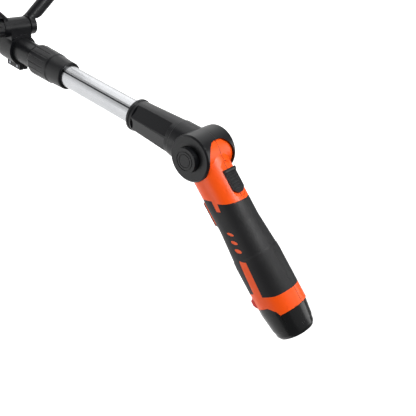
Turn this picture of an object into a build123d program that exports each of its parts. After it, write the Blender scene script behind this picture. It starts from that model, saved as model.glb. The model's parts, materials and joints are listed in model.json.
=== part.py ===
from build123d import *
import math
import os

os.makedirs("parts", exist_ok=True)

# String trimmer with a swivelling battery handle, a telescopic pole and a tilting cutting head.
# Millimetres. World frame: +Z up, -X forward, -Y the user's left. The origin is the centre of the
# flat underside of the spool cap, so the head stands on the ground and the pole leans back.

# ---------------------------------------------------------------- stance and overall lengths
POLE_ANGLE = 51.0  # pole above the ground
KNUCKLE_BEND = 40.0  # handle's angle to the pole in this stance
POLE_LENGTH = 830.0  # handle pivot to head pivot, telescope at rest
HEAD_PIVOT_X = 22.0
HEAD_PIVOT_Z = 112.0
HANDLE_LENGTH = 217.0  # handle pivot to the battery's end
POLE_OFFSET = 1.5  # pole axis above the handle pivot
HANDLE_OFFSET = -1.4  # handle axis below the handle pivot

# ---------------------------------------------------------------- fits
GAP = 0.3  # between pieces that move past each other
RUN = 0.08  # radial play of a running fit
SCREW_PLAY = 0.05

# ---------------------------------------------------------------- knuckle
TUBE_RADIUS = 14.0
TUBE_PLAY = 0.5  # the outer tube's bore round the inner tube
BARREL_RADIUS = 25.8
BARREL_HALF = 24.0
CHEEK = 3.5
HOOD = 2.0
COLLAR_END = 101.0
COLLAR_TIP_RADIUS = TUBE_RADIUS + 4.6
COLLAR_BASE_RADIUS = COLLAR_TIP_RADIUS + 3.0
COLLAR_STEP = 33.5
MOUTH_TOP = 22.4
MOUTH_CORNER = 16.5
MOUTH_LOW_ANGLE = -122.0
BUTTON_RADIUS = 13.8
BUTTON_HEIGHT = 6.8
BEARING_RADIUS = 16.0
BEARING_INNER = 17.6  # inner face of the bearing bosses from the mid-plane
AXLE_RADIUS = 4.0
STEM_RADIUS = 7.0
BARREL_EDGE = 1.6
PANEL_DEPTH = 1.9
PANEL_HALF = 8.2
PANEL_ANGLES = (51.0, 105.0, 159.0)  # from the top, the same to both sides

# ---------------------------------------------------------------- tubes
TUBE_WALL = 1.2
TUBE_SOCKET = 31.0
TUBE_INNER_END = 600.0
GROOVE_ANGLE = 50.0
SLEEVE_START = 221.0
OUTER_TUBE_WALL = 1.5
OUTER_TUBE_RADIUS = TUBE_RADIUS + TUBE_PLAY + OUTER_TUBE_WALL
SLEEVE_LENGTH = 62.0

# ---------------------------------------------------------------- handle
DRUM_HALF = BARREL_HALF - CHEEK - GAP
DRUM_RADIUS = BARREL_RADIUS - HOOD - GAP
NECK_RADIUS = 22.7
PALM_RADIUS = 26.1
SHELL_WALL = 2.4
RUBBER = 2.0
SWELL_START = 84.0
SWELL_STEP = 118.5
RING_END_TOP = 185.0
RING_END_LOW = 175.3
RING_SLOPE_TOP = 11.8
RING_SLOPE_LOW = 3.6
LAND_DEPTH = 1.5
LAND_HALF = 9.6
LAND_START = 18.5
LAND_END = 60.0

# ---------------------------------------------------------------- thumb slider and trigger
SLIDER_START = 27.6
SLIDER_LENGTH = 27.6
SLIDER_HALF = 8.8
TRIGGER_START = 47.0
TRIGGER_LENGTH = 30.0
TRIGGER_HALF = 14.0
TRIGGER_RADIUS = 25.3  # the trigger is rounded like the neck, a little further out
TRIGGER_PIN_X = 52.0
TRIGGER_PIN_Z = -11.5
TRIGGER_PIN_RADIUS = 1.5
TRIGGER_PIN_HALF = 16.2
PAD_THICKNESS = 1.4

# ---------------------------------------------------------------- battery
TOWER_RADIUS = 21.2
TOWER_START = 127.0
TOWER_WALL = 1.2
CELL_RADIUS = 9.15
CELL_LENGTH = 65.0
CELL_START = 141.0
CAP_START = 205.0
SLIT_START = 187.5
SLIT_LENGTH = 9.0
SLIT_HALF = 0.45
SLIT_ANGLE = 63.0
LATCH_START = 163.0
LATCH_LENGTH = 11.0
LATCH_HALF = 21.0
LATCH_RADIUS = 28.8
LATCH_TRAVEL = 2.5

# ---------------------------------------------------------------- auxiliary handle
AUX_PLACE = 331.0
AUX_PIVOT_Z = 28.0
AUX_WIDTH = 118.0
AUX_HEIGHT = 104.0
AUX_BAR = 8.5

# ---------------------------------------------------------------- head
HEAD_RADIUS = 36.0
HEAD_FLOOR = 46.0
HEAD_TOP = 96.0
HEAD_WALL = 2.5
EAR_RADIUS = 15.0
EAR_HALF = 9.0
YOKE_EAR = 6.2
MOTOR_RADIUS = 22.0
MOTOR_SHAFT = 2.5
GUARD_RADIUS = 130.0
GUARD_TOP = 43.0
GUARD_LOW = 14.0
GUARD_WALL = 3.0
GUARD_HALF_ANGLE = 100.0
CUT_RADIUS = 124.0
SPOOL_RADIUS = 42.0
SPOOL_TOP = 34.0
LINE_RADIUS = 0.8
LINE_HEIGHT = 24.0
HOOP_RADIUS = 137.0
HOOP_WIRE = 2.0
HOOP_X = 10.0
HOOP_Z = 28.0

HANDLE_TILT = POLE_ANGLE - KNUCKLE_BEND
POLE_COS = math.cos(math.radians(POLE_ANGLE))
POLE_SIN = math.sin(math.radians(POLE_ANGLE))
PIVOT_X = HEAD_PIVOT_X + POLE_LENGTH * POLE_COS + POLE_OFFSET * POLE_SIN
PIVOT_Z = HEAD_PIVOT_Z + POLE_LENGTH * POLE_SIN - POLE_OFFSET * POLE_COS
# In both frames X runs away from the head along the piece, Y is the world's and Z is its top side.
HANDLE_FRAME = Pos(PIVOT_X, 0, PIVOT_Z) * Rot(0, -HANDLE_TILT, 0)
POLE_FRAME = Pos(PIVOT_X, 0, PIVOT_Z) * Rot(0, -POLE_ANGLE, 0)
FAR = 400.0


def rod_x(x0, x1, radius, y=0.0, z=0.0):
    """A round bar along X."""
    return Pos((x0 + x1) / 2, y, z) * Rot(0, 90, 0) * Cylinder(radius, abs(x1 - x0))


def rod_y(y0, y1, radius, x=0.0, z=0.0):
    """A round bar along Y."""
    return Pos(x, (y0 + y1) / 2, z) * Rot(90, 0, 0) * Cylinder(radius, abs(y1 - y0))


def rod_z(z0, z1, radius, x=0.0, y=0.0):
    """A round bar along Z."""
    return Pos(x, y, (z0 + z1) / 2) * Cylinder(radius, abs(z1 - z0))


def block(x0, x1, y0, y1, z0, z1):
    """A box between two corners."""
    return Pos((x0 + x1) / 2, (y0 + y1) / 2, (z0 + z1) / 2) * Box(x1 - x0, y1 - y0, z1 - z0)


def turned_x(points, z=0.0):
    """A body turned about X, from a list of (x, radius), its seam underneath."""
    return Pos(0, 0, z) * Rot(-90, 0, 0) * revolve(make_face(Polyline(*points, close=True)), Axis.X, 360)


def turned_z(points):
    """A body turned about Z, from a list of (radius, z)."""
    return revolve(Plane.XZ * make_face(Polyline(*points, close=True)), Axis.Z, 360)


def prism_y(outline, half):
    """A side view in X and Z made into a body that reaches half to each side."""
    return extrude(Plane.XZ * make_face(outline), amount=half, both=True)


def polygon(*points):
    return Polyline(*points, close=True)


def left_half(shape):
    return whole(shape & block(-FAR * 3, FAR * 3, -FAR, 0, -FAR, FAR))


def right_half(shape):
    return whole(shape & block(-FAR * 3, FAR * 3, 0, FAR, -FAR, FAR))


def coil_y(y0, y1, radius, wire, turns, x=0.0, z=0.0):
    """A compression spring along Y."""
    pitch = (y1 - y0 - 2 * wire) / turns
    path = Helix(pitch=pitch, height=pitch * turns, radius=radius)
    ring = Plane(origin=path @ 0, z_dir=path % 0) * Circle(wire)
    return Pos(x, y0 + wire, z) * Rot(-90, 0, 0) * sweep(ring, path=path)


def coil_z(z0, z1, radius, wire, turns, x=0.0, y=0.0):
    """A compression spring along Z."""
    pitch = (z1 - z0 - 2 * wire) / turns
    path = Helix(pitch=pitch, height=pitch * turns, radius=radius)
    ring = Plane(origin=path @ 0, z_dir=path % 0) * Circle(wire)
    return Pos(x, y, z0 + wire) * sweep(ring, path=path)


def screw_y(y_head, y_tip, radius, x, z):
    """A pan-head screw along Y with a cross-shaped drive; its head is at y_head."""
    side = 1 if y_head > y_tip else -1
    head_depth = radius * 1.2
    body = rod_y(y_head - side * head_depth, y_tip, radius, x, z)
    body += rod_y(y_head - side * head_depth, y_head, radius * 1.9, x, z)
    drive = block(-radius, radius, -radius * 0.4, radius * 0.4, -radius * 0.3, radius * 0.3)
    drive += block(-radius * 0.3, radius * 0.3, -radius * 0.4, radius * 0.4, -radius, radius)
    return body - Pos(x, y_head, z) * drive


def screw_z(z_head, z_tip, radius, x, y):
    """A pan-head screw along Z with a cross-shaped drive; its head is at z_head."""
    return Pos(x, y, 0) * Rot(90, 0, 0) * screw_y(z_head, z_tip, radius, 0, 0)


def whole(shape):
    """One solid, or one compound of solids, whatever a boolean gave back."""
    solids = shape.solids()
    return solids[0] if len(solids) == 1 else Compound(children=list(solids))


def save(name, shape, frame=Location((0, 0, 0))):
    """Places a piece in the world and writes it."""
    export_step(frame * whole(shape), "parts/" + name + ".step")


# ================================================================ handle
def handle_profile(shrink):
    """The handle's turned outline along its own axis, shrunk by a wall."""
    return [
        (0, 0),
        (0, NECK_RADIUS - shrink),
        (SWELL_START, NECK_RADIUS - shrink),
        (SWELL_START + 14, NECK_RADIUS + 1.0 - shrink),
        (SWELL_STEP, PALM_RADIUS - 0.9 - shrink),
        (SWELL_STEP + 2, PALM_RADIUS - 0.3 - shrink),
        (SWELL_STEP + 9, PALM_RADIUS - shrink),
        (RING_END_TOP + 10, PALM_RADIUS - shrink),
        (RING_END_TOP + 10, 0),
    ]


def handle_side(x, z):
    """A side-view point of the handle, z measured from the handle's axis."""
    return (x, z + HANDLE_OFFSET)


def battery_zone(gap):
    """Everything behind the stepped edge where the ring ends and the battery begins."""
    edge = [
        handle_side(RING_END_TOP + gap, 40),
        handle_side(RING_END_TOP + 1.5 + gap, RING_SLOPE_TOP),
        handle_side(RING_END_TOP - 3 + gap, RING_SLOPE_TOP - 2.2),
        handle_side(RING_END_LOW + 2 + gap, RING_SLOPE_LOW + 1.2),
        handle_side(RING_END_LOW + gap, RING_SLOPE_LOW - 1.5),
        handle_side(RING_END_LOW + gap, -40),
        handle_side(RING_END_TOP + 80, -40),
        handle_side(RING_END_TOP + 80, 40),
    ]
    return prism_y(polygon(*edge), 40)


DASH_FIRST = 89.2
DASH_PITCH = 9.6
DASH_LENGTH = 8.4
DASH_WIDTHS = (3.0, 3.5, 4.1)
DASH_RISE = 2.2
DASH_SLANT = 50.0
GRIP_FRONT_TOP = 63.5
GRIP_FRONT_SIDE = 54.9
GRIP_FRONT_LOW = 45.0
GRIP_REAR_TOP = 166.5
GRIP_REAR_LOW = 156.5


def grip_zone():
    """Where the rubber lies, seen from the side, before its windows are cut."""
    front = ThreePointArc(
        handle_side(GRIP_FRONT_TOP, 40),
        handle_side(GRIP_FRONT_TOP - 2.9, 15.5),
        handle_side(GRIP_FRONT_SIDE, 5.5),
    )
    rest = Polyline(
        handle_side(GRIP_FRONT_SIDE, 5.5),
        handle_side(GRIP_FRONT_SIDE + 9.2, 4.3),
        handle_side(GRIP_FRONT_SIDE + 7.2, 0),
        handle_side(GRIP_FRONT_LOW + 4.5, 0.4),
        handle_side(GRIP_FRONT_LOW + 0.5, -7.8),
        handle_side(GRIP_FRONT_LOW - 1, -13),
        handle_side(GRIP_FRONT_LOW - 1, -40),
        handle_side(GRIP_REAR_LOW, -40),
        handle_side(GRIP_REAR_LOW, -6.7),
        handle_side(GRIP_REAR_LOW + 5.8, 3.2),
        handle_side(GRIP_REAR_TOP, 16),
        handle_side(GRIP_REAR_TOP + 1.5, 40),
        handle_side(GRIP_FRONT_TOP, 40),
    )
    return prism_y(front + rest, 40)


def grip_windows():
    """The slanted dashes and the long stripe where the shell shows through the rubber."""
    windows = []
    for i, width in enumerate(DASH_WIDTHS):
        dash = Ellipse(DASH_LENGTH / 2, width / 2)
        place = Plane.XZ * Pos(DASH_FIRST + i * DASH_PITCH, DASH_RISE + HANDLE_OFFSET) * Rot(0, 0, DASH_SLANT)
        windows.append(extrude(place * dash, amount=40, both=True))
    stripe = polygon(
        handle_side(SWELL_STEP - 0.2, -2.3),
        handle_side(SWELL_STEP + 3.9, 5.4),
        handle_side(GRIP_REAR_LOW + 5.8, 3.2),
        handle_side(GRIP_REAR_LOW + 5.8, -6.7),
        handle_side(GRIP_REAR_LOW - 0.3, -6.7),
    )
    windows.append(prism_y(stripe, 40))
    return windows


def inner_space():
    """The hollow of the handle: electronics in front, the battery's tower behind."""
    points = [
        (32, 0),
        (32, NECK_RADIUS - RUBBER - SHELL_WALL),
        (SWELL_START + 4, NECK_RADIUS - RUBBER - SHELL_WALL),
        (TOWER_START - 5, PALM_RADIUS - RUBBER - SHELL_WALL),
        (FAR, PALM_RADIUS - RUBBER - SHELL_WALL),
        (FAR, 0),
    ]
    return turned_x(points, HANDLE_OFFSET)


SHELL_SCREWS = ((37.0, -11.0), (87.0, -11.5), (87.0, 12.5), (112.0, -11.5))
BOSS_RADIUS = 4.2
SCREW_RADIUS = 1.8
TRIGGER_SLOT = (TRIGGER_START - 0.6, TRIGGER_START + TRIGGER_LENGTH + 2.0)
LAND_Z = NECK_RADIUS - LAND_DEPTH


def thumb_land():
    """The flat that the slider rides on, round at both ends."""
    flat = block(LAND_START + LAND_HALF, LAND_END - LAND_HALF, -LAND_HALF, LAND_HALF, LAND_Z, LAND_Z + 9)
    flat += rod_z(LAND_Z, LAND_Z + 9, LAND_HALF, LAND_START + LAND_HALF)
    flat += rod_z(LAND_Z, LAND_Z + 9, LAND_HALF, LAND_END - LAND_HALF)
    return Pos(0, 0, HANDLE_OFFSET) * flat


def trigger_slot():
    return block(*TRIGGER_SLOT, -TRIGGER_HALF - 0.4, TRIGGER_HALF + 0.4, -40, HANDLE_OFFSET + TRIGGER_PIN_Z + 3.6)


def latch_slot():
    slot = block(LATCH_START - 0.4, LATCH_START + LATCH_LENGTH + 0.4, -LATCH_HALF - 0.4, LATCH_HALF + 0.4, -40, 0)
    return Pos(0, 0, HANDLE_OFFSET - 9) * slot


def handle_outside():
    """The whole outside of the handle: the turned body, the neck and the drum in the knuckle."""
    body = turned_x(handle_profile(0), HANDLE_OFFSET)
    wedge = polygon((0, 0), (24, -49.2), (70, -60), (70, 60), (26, 48.9))
    neck = body & prism_y(wedge, DRUM_HALF)
    drum = rod_y(-DRUM_HALF, DRUM_HALF, DRUM_RADIUS)
    return (body - rod_y(-FAR, FAR, BARREL_RADIUS + GAP)) + neck + drum


def handle_core():
    return turned_x(handle_profile(RUBBER), HANDLE_OFFSET) & block(30, RING_END_TOP, -40, 40, -40, 40)


def build_rubber(outside, core):
    """The overmoulded grip as one ring, with its windows open."""
    rubber = whole(outside & grip_zone())
    for window in grip_windows():
        rubber -= window
    return rubber - core


def build_handle():
    outside = handle_outside()
    core = handle_core()
    rubber = build_rubber(outside, core)
    shell = outside - rubber
    hollow = inner_space()
    bosses = [rod_y(-FAR, FAR, BOSS_RADIUS, x, z + HANDLE_OFFSET) & core for x, z in SHELL_SCREWS[1:]]
    shell -= hollow
    for boss in bosses:
        shell += boss
    drum_room = rod_y(-DRUM_HALF + 3, DRUM_HALF - 3, DRUM_RADIUS - 2.6)
    shell -= drum_room
    shell -= rod_y(-FAR, FAR, BEARING_RADIUS + RUN) & rod_y(-DRUM_HALF - 1, DRUM_HALF + 1, BEARING_RADIUS + 1)
    shell -= rod_x(15, 33, 7.0, z=HANDLE_OFFSET)
    shell -= battery_zone(0)
    shell -= thumb_land()
    shell -= block(SLIDER_START + 2.4, SLIDER_START + 21, -3.4, 3.4, 10, 40)
    shell -= trigger_slot()
    shell -= latch_slot()
    shell -= rod_y(-TRIGGER_PIN_HALF, TRIGGER_PIN_HALF, TRIGGER_PIN_RADIUS, TRIGGER_PIN_X, TRIGGER_PIN_Z + HANDLE_OFFSET)
    for x, z in SHELL_SCREWS:
        zz = z + HANDLE_OFFSET
        shell -= rod_y(-9.0, FAR, SCREW_RADIUS + SCREW_PLAY, x, zz)
        shell -= rod_y(11.8, FAR, SCREW_RADIUS * 1.9 + SCREW_PLAY, x, zz)
    save("handle_shell_left", left_half(shell), HANDLE_FRAME)
    save("handle_shell_right", right_half(shell), HANDLE_FRAME)
    grip = rubber - trigger_slot() - latch_slot()
    right_grip = right_half(grip)
    for x, z in SHELL_SCREWS[1:]:
        right_grip -= rod_y(0, FAR, SCREW_RADIUS * 1.9 + SCREW_PLAY, x, z + HANDLE_OFFSET)
    save("grip_left", left_half(grip), HANDLE_FRAME)
    save("grip_right", right_grip, HANDLE_FRAME)
    screws = [screw_y(14.0, -9.0, SCREW_RADIUS, x, z + HANDLE_OFFSET) for x, z in SHELL_SCREWS]
    save("handle_screws", Compound(children=screws), HANDLE_FRAME)
    pin = rod_y(-TRIGGER_PIN_HALF, TRIGGER_PIN_HALF, TRIGGER_PIN_RADIUS, TRIGGER_PIN_X, TRIGGER_PIN_Z + HANDLE_OFFSET)
    save("trigger_pin", pin, HANDLE_FRAME)


def build_handle_inside():
    switch = block(63, 79, -4, 4, -8.5, 1.5)
    switch += block(66, 68, -1.5, 1.5, -9.6, -8.5)
    save("trigger_switch", switch, HANDLE_FRAME)
    slide_switch = block(33, 50, -6, 6, 4.5, 12.2)
    save("slide_switch", slide_switch, HANDLE_FRAME)
    board = block(56, 108, -12.5, 12.5, 3.0, 4.6)
    for x, y in ((62, 6), (72, -6), (98, 6)):
        board += rod_z(4.6, 11, 3.0, x, y)
    save("control_board", board, HANDLE_FRAME)
    holder = rod_x(TOWER_START - 9.5, TOWER_START - 4, 16.5, z=HANDLE_OFFSET)
    save("terminal_block", holder, HANDLE_FRAME)
    blades = []
    for y in (-7.0, 0.0, 7.0):
        blades.append(Pos(0, 0, HANDLE_OFFSET) * block(TOWER_START - 4, TOWER_START + 7, y - 0.4, y + 0.4, -3, 3))
    save("terminal_blades", Compound(children=blades), HANDLE_FRAME)


def build_thumb_slider():
    end = SLIDER_START + SLIDER_LENGTH
    round_end = 5.0
    floor = LAND_Z + GAP
    plate = extrude(Pos((SLIDER_START + end) / 2, 0, floor) * RectangleRounded(SLIDER_LENGTH, 2 * SLIDER_HALF, 2.0), 1.9)
    plate &= block(SLIDER_START, end - round_end, -20, 20, 0, 40) + rod_z(0, 40, SLIDER_HALF + 1.2, end - SLIDER_HALF - 1.2)
    ledge = polygon(
        (SLIDER_START, floor + 0.5),
        (SLIDER_START, floor + 3.2),
        (SLIDER_START + 1.6, floor + 3.8),
        (SLIDER_START + 3.4, floor + 3.2),
        (SLIDER_START + 5.6, floor + 1.4),
        (SLIDER_START + 5.6, floor + 0.5),
    )
    body = plate + prism_y(ledge, SLIDER_HALF)
    rib_pitch = 3.4
    for i in range(5):
        body += rod_y(-SLIDER_HALF + 1.5, SLIDER_HALF - 1.5, 0.7, SLIDER_START + 8.2 + i * rib_pitch, floor + 1.8)
    body += block(SLIDER_START + 9.0, SLIDER_START + 16.0, -3, 3, 14.4, floor + 0.5)
    save("thumb_slider", Pos(0, 0, HANDLE_OFFSET) * body, HANDLE_FRAME)


def build_trigger():
    x0 = TRIGGER_START
    x1 = TRIGGER_START + TRIGGER_LENGTH
    top = -17.0
    hollow_floor = -18.8
    hinge_top = TRIGGER_PIN_Z + 2.6
    side = polygon(
        (x0, -40), (x1, -40), (x1, top - 3), (x1 - 6, top), (x0 + 11, top),
        (x0 + 7.6, hinge_top), (x0 + 1, hinge_top), (x0, hinge_top - 1),
    )
    under_pad = rod_x(x0, x1, TRIGGER_RADIUS - PAD_THICKNESS)
    lever = prism_y(side, TRIGGER_HALF) & under_pad
    lever -= block(x0 + 12, x1 - 3, -TRIGGER_HALF + 2.2, TRIGGER_HALF - 2.2, hollow_floor, 0)
    lever += block(x0 + 18, x0 + 20.5, -1.5, 1.5, hollow_floor - 1.0, -11.0)
    lever -= rod_y(-30, 30, TRIGGER_PIN_RADIUS + RUN, TRIGGER_PIN_X, TRIGGER_PIN_Z)
    pad = rod_x(x0 + 1, x1 - 1.5, TRIGGER_RADIUS) - under_pad
    pad &= block(x0, x1, -TRIGGER_HALF + 1.0, TRIGGER_HALF - 1.0, -40, -10)
    save("trigger_lever", Pos(0, 0, HANDLE_OFFSET) * lever, HANDLE_FRAME)
    save("trigger_pad", Pos(0, 0, HANDLE_OFFSET) * pad, HANDLE_FRAME)


def build_battery():
    radius = PALM_RADIUS - 0.3
    base = [
        (RING_END_LOW - 10, 0),
        (RING_END_LOW - 10, radius),
        (RING_END_LOW + 8, radius),
        (RING_END_TOP + 10, radius - 1.4),
        (CAP_START, radius - 2.6),
        (CAP_START, 0),
    ]
    housing = turned_x(base, HANDLE_OFFSET) & battery_zone(0.4)
    housing += rod_x(TOWER_START, RING_END_TOP + 3, TOWER_RADIUS, z=HANDLE_OFFSET)
    inner = TOWER_RADIUS - TOWER_WALL
    housing -= rod_x(CELL_START - 0.5, CAP_START, inner, z=HANDLE_OFFSET)
    housing -= Pos(0, 0, HANDLE_OFFSET) * block(TOWER_START - 1, TOWER_START + 11, -10, 10, -4.5, 4.5)
    for side in (-1, 1):
        slit = block(SLIT_START, SLIT_START + SLIT_LENGTH, -SLIT_HALF, SLIT_HALF, PALM_RADIUS - 2.9, 40)
        housing -= Pos(0, 0, HANDLE_OFFSET) * Rot(side * SLIT_ANGLE, 0, 0) * slit
    save("battery_housing", housing, HANDLE_FRAME)
    rim = radius - 3.1
    cap = [
        (CAP_START, 0),
        (CAP_START, rim),
        (HANDLE_LENGTH - 5.5, rim - 1.0),
        (HANDLE_LENGTH - 2.2, rim - 3.0),
        (HANDLE_LENGTH - 0.6, rim - 7.0),
        (HANDLE_LENGTH, rim - 12.0),
        (HANDLE_LENGTH, 0),
    ]
    end_cap = turned_x(cap, HANDLE_OFFSET) - rod_x(CAP_START, CELL_START + CELL_LENGTH + 1, inner - 0.5, z=HANDLE_OFFSET)
    save("battery_end_cap", end_cap, HANDLE_FRAME)
    reach = (CELL_RADIUS + 0.05) * 2 / math.sqrt(3)
    cells = []
    for i in range(3):
        angle = math.radians(90 + 120 * i)
        y = reach * math.cos(angle)
        z = reach * math.sin(angle) + HANDLE_OFFSET
        cell = rod_x(CELL_START, CELL_START + CELL_LENGTH - 1, CELL_RADIUS, y, z)
        cell += rod_x(CELL_START + CELL_LENGTH - 1, CELL_START + CELL_LENGTH, 3.5, y, z)
        cells.append(cell)
    save("battery_cells", Compound(children=cells), HANDLE_FRAME)
    clips = []
    for y in (-7.0, 0.0, 7.0):
        for side in (-1, 1):
            leaf = block(TOWER_START + 3, TOWER_START + 11, y + side * 0.8 - 0.25, y + side * 0.8 + 0.25, -2.5, 2.5)
            clips.append(Pos(0, 0, HANDLE_OFFSET) * leaf)
    save("battery_contacts", Compound(children=clips), HANDLE_FRAME)


def build_latch():
    x0 = LATCH_START
    x1 = LATCH_START + LATCH_LENGTH
    inner = TOWER_RADIUS + LATCH_TRAVEL + 0.6
    outline = [(x0, inner), (x0, LATCH_RADIUS - 2), (x0 + 2, LATCH_RADIUS), (x1 - 4, LATCH_RADIUS), (x1, PALM_RADIUS + 0.8), (x1, inner)]
    saddle = turned_x(outline) & block(x0, x1, -LATCH_HALF, LATCH_HALF, -40, -LATCH_TRAVEL - 9)
    save("battery_release", Pos(0, 0, HANDLE_OFFSET) * saddle, HANDLE_FRAME)


# ================================================================ knuckle
COLLAR_LENGTH = COLLAR_END - COLLAR_STEP
KNUCKLE_SCREWS = ((-27.0, 12.0), (-27.0, -9.0))


def build_knuckle():
    collar = [
        (-10, 0),
        (-10, COLLAR_BASE_RADIUS),
        (-COLLAR_STEP, COLLAR_BASE_RADIUS),
        (-COLLAR_STEP - 0.8, COLLAR_BASE_RADIUS - 0.8),
        (-COLLAR_END + 4.5, COLLAR_TIP_RADIUS - 0.4),
        (-COLLAR_END + 4, COLLAR_TIP_RADIUS + 0.5),
        (-COLLAR_END + 1.5, COLLAR_TIP_RADIUS + 0.5),
        (-COLLAR_END, COLLAR_TIP_RADIUS - 0.8),
        (-COLLAR_END, 0),
    ]
    barrel = rod_y(-BARREL_HALF, BARREL_HALF, BARREL_RADIUS)
    barrel = chamfer(barrel.edges().filter_by(GeomType.CIRCLE), BARREL_EDGE)
    body = barrel + turned_x(collar, POLE_OFFSET)
    taper = math.degrees(math.atan2(COLLAR_BASE_RADIUS - 0.8 - COLLAR_TIP_RADIUS, COLLAR_LENGTH))
    for angle in PANEL_ANGLES + tuple(-angle for angle in PANEL_ANGLES):
        panel = block(-COLLAR_END + 8, -COLLAR_STEP - 6, -PANEL_HALF, PANEL_HALF, 0, 9)
        height = COLLAR_TIP_RADIUS - 0.4 - PANEL_DEPTH
        tilt = Pos(-COLLAR_END, 0, height) * Rot(0, -taper, 0) * Pos(COLLAR_END, 0, 0)
        body -= Pos(0, 0, POLE_OFFSET) * Rot(angle, 0, 0) * tilt * panel
    inner_y = BARREL_HALF - CHEEK
    body -= rod_y(-inner_y, inner_y, BARREL_RADIUS - HOOD)
    body += rod_y(-inner_y, -BEARING_INNER, BEARING_RADIUS) + rod_y(BEARING_INNER, inner_y, BEARING_RADIUS)
    mouth = Plane.YZ * Pos(0, (MOUTH_TOP - 60) / 2) * RectangleRounded(2 * inner_y, MOUTH_TOP + 60, MOUTH_CORNER)
    body -= extrude(mouth, 60) - rod_y(-FAR, -BEARING_INNER, BEARING_RADIUS + 2) - rod_y(BEARING_INNER, FAR, BEARING_RADIUS + 2)
    low = math.radians(MOUTH_LOW_ANGLE)
    reach = 34.0
    lower = prism_y(polygon((0, 0), (reach * math.cos(low), reach * math.sin(low)), (0, -reach - 6)), inner_y)
    body -= lower - rod_y(-FAR, FAR, BEARING_RADIUS + 2)
    body -= rod_x(-COLLAR_END - 1, -TUBE_SOCKET, TUBE_RADIUS, z=POLE_OFFSET)
    body -= rod_x(-TUBE_SOCKET - 1, -20, 5.5, z=POLE_OFFSET)
    button_floor = BARREL_HALF - 5.0
    body -= rod_y(-FAR, -button_floor, BUTTON_RADIUS + GAP)
    body -= rod_y(-FAR, -1, STEM_RADIUS + GAP)
    body -= rod_y(BARREL_HALF - 2, FAR, BUTTON_RADIUS)
    body -= rod_y(BARREL_HALF - 5.5, FAR, AXLE_RADIUS * 1.8)
    body -= rod_y(1, FAR, AXLE_RADIUS)
    body -= rod_z(-FAR, 0, 2.0, -COLLAR_END + 14) & block(-FAR, 0, -9, 9, -FAR, 0)
    body -= rod_z(-FAR, -16.4, 3.6, -COLLAR_END + 14)
    for x, z in KNUCKLE_SCREWS:
        body -= rod_y(-17.0, FAR, SCREW_RADIUS + SCREW_PLAY, x, z)
        body -= rod_y(9.0, FAR, SCREW_RADIUS * 1.9 + SCREW_PLAY, x, z)
    save("knuckle_shell_left", left_half(body), POLE_FRAME)
    save("knuckle_shell_right", right_half(body), POLE_FRAME)
    screws = [screw_y(11.2, -14.0, SCREW_RADIUS, x, z) for x, z in KNUCKLE_SCREWS]
    save("knuckle_screws", Compound(children=screws), POLE_FRAME)
    axle = rod_y(-BARREL_HALF + 1.5, BARREL_HALF - 2.4, AXLE_RADIUS)
    axle += rod_y(BARREL_HALF - 5.5, BARREL_HALF - 2.4, AXLE_RADIUS * 1.8)
    save("pivot_axle", axle, POLE_FRAME)
    cover = rod_y(BARREL_HALF - 2, BARREL_HALF + 0.8, BUTTON_RADIUS)
    cover -= rod_y(BARREL_HALF, BARREL_HALF + 1, BUTTON_RADIUS - 1.6)
    cover += rod_y(BARREL_HALF - 2, BARREL_HALF + 0.8, BUTTON_RADIUS - 4.5)
    save("pivot_cover", cover, POLE_FRAME)
    grub = rod_z(-17.2, -13.0, 2.0, -COLLAR_END + 14)
    grub += rod_z(-17.9, -16.6, 3.4, -COLLAR_END + 14)
    save("tube_screw", grub - Pos(-COLLAR_END + 14, 0, -17.9) * Box(1.0, 5, 1.0), POLE_FRAME)


def dogs(y0, y1, inner, outer, turn):
    """Face teeth, one every ten degrees, between two radii."""
    teeth = []
    for i in range(18):
        tooth = block(inner, outer, y0, y1, -1.0, 1.0)
        teeth.append(Rot(0, i * 20 + turn, 0) * tooth)
    return teeth


RING_FACE = -14.8
DOG_HEIGHT = 2.0


def build_pivot_lock():
    ring = rod_y(-DRUM_HALF + 3, RING_FACE, DRUM_RADIUS - 2.8) - rod_y(-FAR, FAR, 10.0)
    for tooth in dogs(RING_FACE - 0.5, RING_FACE + DOG_HEIGHT, 11.0, 17.0, 0):
        ring += tooth
    save("dog_ring", ring, HANDLE_FRAME)
    gear_face = RING_FACE + 2 * DOG_HEIGHT + GAP
    gear = rod_y(gear_face, gear_face + 4.0, 17.6)
    for tooth in dogs(gear_face - DOG_HEIGHT, gear_face + 0.5, 11.0, 17.0, 10):
        gear += tooth
    gear -= rod_y(-FAR, FAR, AXLE_RADIUS + RUN)
    save("lock_gear", gear, POLE_FRAME)
    top = -BARREL_HALF - BUTTON_HEIGHT
    skirt = -BARREL_HALF + 0.7
    button = rod_y(top, skirt, BUTTON_RADIUS) - rod_y(top + 2.4, 0, BUTTON_RADIUS - 1.8)
    button -= rod_y(top, top + 0.7, 10.6) - rod_y(top, top + 0.7, 9.6)
    button -= rod_y(top, top + 0.7, 7.4) - rod_y(top, top + 0.7, 6.7)
    button += rod_y(top + 2.4, gear_face, STEM_RADIUS)
    button -= rod_y(-BARREL_HALF - 3.0, 0, AXLE_RADIUS + RUN)
    save("pivot_button", button, POLE_FRAME)
    save("button_spring", coil_y(gear_face + 4.0, BEARING_INNER, 7.0, 0.7, 5), POLE_FRAME)


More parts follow.
